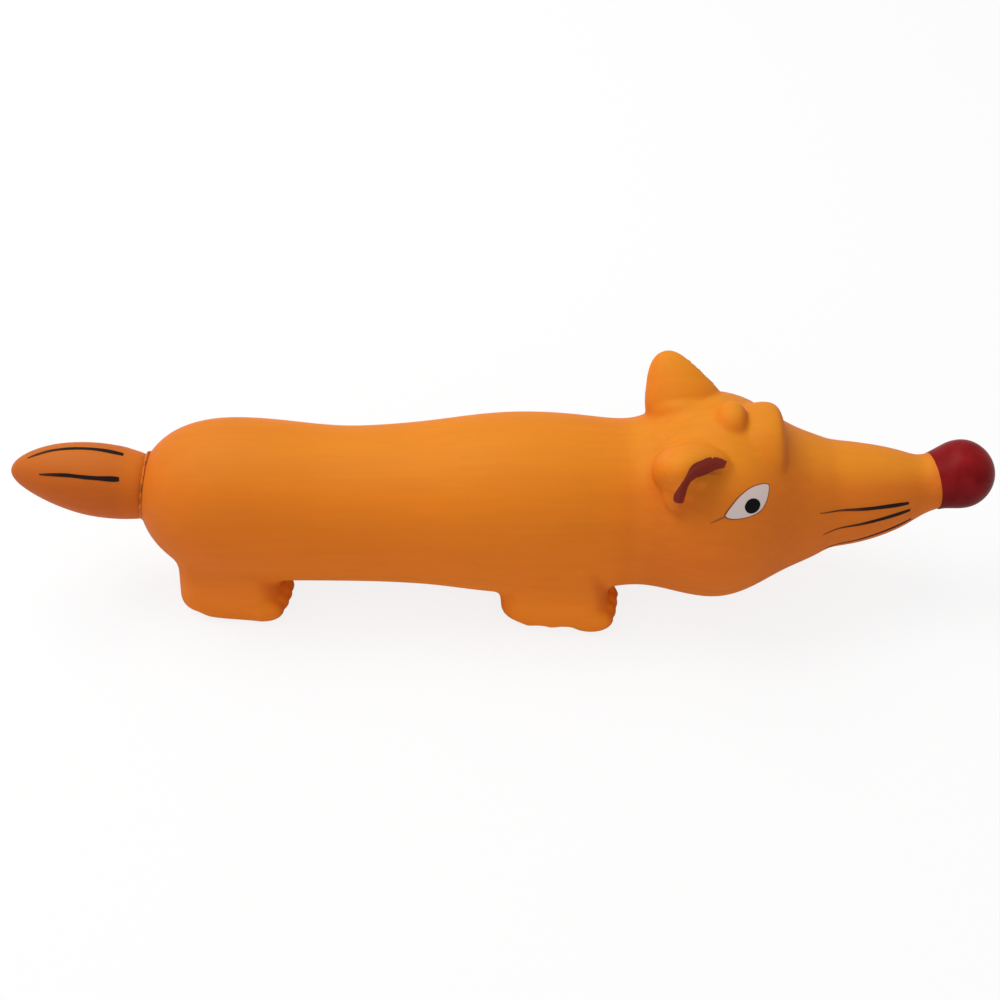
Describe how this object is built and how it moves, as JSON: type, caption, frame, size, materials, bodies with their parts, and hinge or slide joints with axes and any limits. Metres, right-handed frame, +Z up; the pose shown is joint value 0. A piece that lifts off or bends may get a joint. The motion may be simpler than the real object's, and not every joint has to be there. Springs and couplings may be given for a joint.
{
  "type": "dog toy",
  "caption": "Long latex squeaky fox with a ball nose, cupped ears, short legs with flat soles, a glued tail and a reed squeaker in its belly.",
  "frame": {"origin": "on the floor under the middle of the toy's box", "axes": "+X towards the nose, +Y towards the fox's left side, +Z up"},
  "size_m": [0.34, 0.0734, 0.0803],
  "materials": {
    "latex_orange": "matte",
    "nose_crimson": "satin",
    "brick_paint": "matte",
    "eye_white_paint": "satin",
    "black_paint": "satin",
    "fibre_wadding": "matte",
    "squeaker_plastic": "satin",
    "reed_strip": "gloss"
  },
  "bodies": {
    "body": {"torso_skin": "latex_orange", "head_skin": "latex_orange", "snout_skin": "latex_orange", "front_left_leg": "latex_orange", "front_right_leg": "latex_orange", "rear_left_leg": "latex_orange", "rear_right_leg": "latex_orange", "nose_ball": "nose_crimson", "torso_fill": "fibre_wadding", "head_fill": "fibre_wadding", "squeaker_housing": "squeaker_plastic", "squeaker_cover": "squeaker_plastic", "reed_holder": "squeaker_plastic", "reed_collar": "squeaker_plastic", "left_eye_white": "eye_white_paint", "right_eye_white": "eye_white_paint", "left_pupil": "black_paint", "right_pupil": "black_paint", "left_whisker_upper": "black_paint", "left_whisker_middle": "black_paint", "left_whisker_lower": "black_paint", "right_whisker_upper": "black_paint", "right_whisker_middle": "black_paint", "right_whisker_lower": "black_paint"},
    "tail": {"tail": "latex_orange", "tail_stroke_top": "black_paint", "tail_stroke_left": "black_paint", "tail_stroke_right": "black_paint"},
    "left_ear": {"left_ear": "latex_orange", "left_inner_ear": "brick_paint"},
    "right_ear": {"right_ear": "latex_orange", "right_inner_ear": "brick_paint"},
    "reed": {"reed_tongue": "reed_strip"}
  },
  "joints": [
    {"name": "tail_flex", "type": "hinge", "parent": "body", "child": "tail", "pos_m": [-0.1255, 0, 0.0421], "axis": [0, 0, 1], "range_deg": [-18, 18], "stiffness_Nm_per_rad": 0.08},
    {"name": "left_ear_flex", "type": "hinge", "parent": "body", "child": "left_ear", "pos_m": [0.0625, 0.016, 0.0644], "axis": [1, 0, 0], "range_deg": [-10, 10], "stiffness_Nm_per_rad": 0.05},
    {"name": "right_ear_flex", "type": "hinge", "parent": "body", "child": "right_ear", "pos_m": [0.0625, -0.016, 0.0644], "axis": [1, 0, 0], "range_deg": [-10, 10], "stiffness_Nm_per_rad": 0.05},
    {"name": "reed_flex", "type": "hinge", "parent": "body", "child": "reed", "pos_m": [-0.0375, 0, 0.0086], "axis": [0, 1, 0], "range_deg": [-1.5, 6], "stiffness_Nm_per_rad": 0.00002}
  ]
}
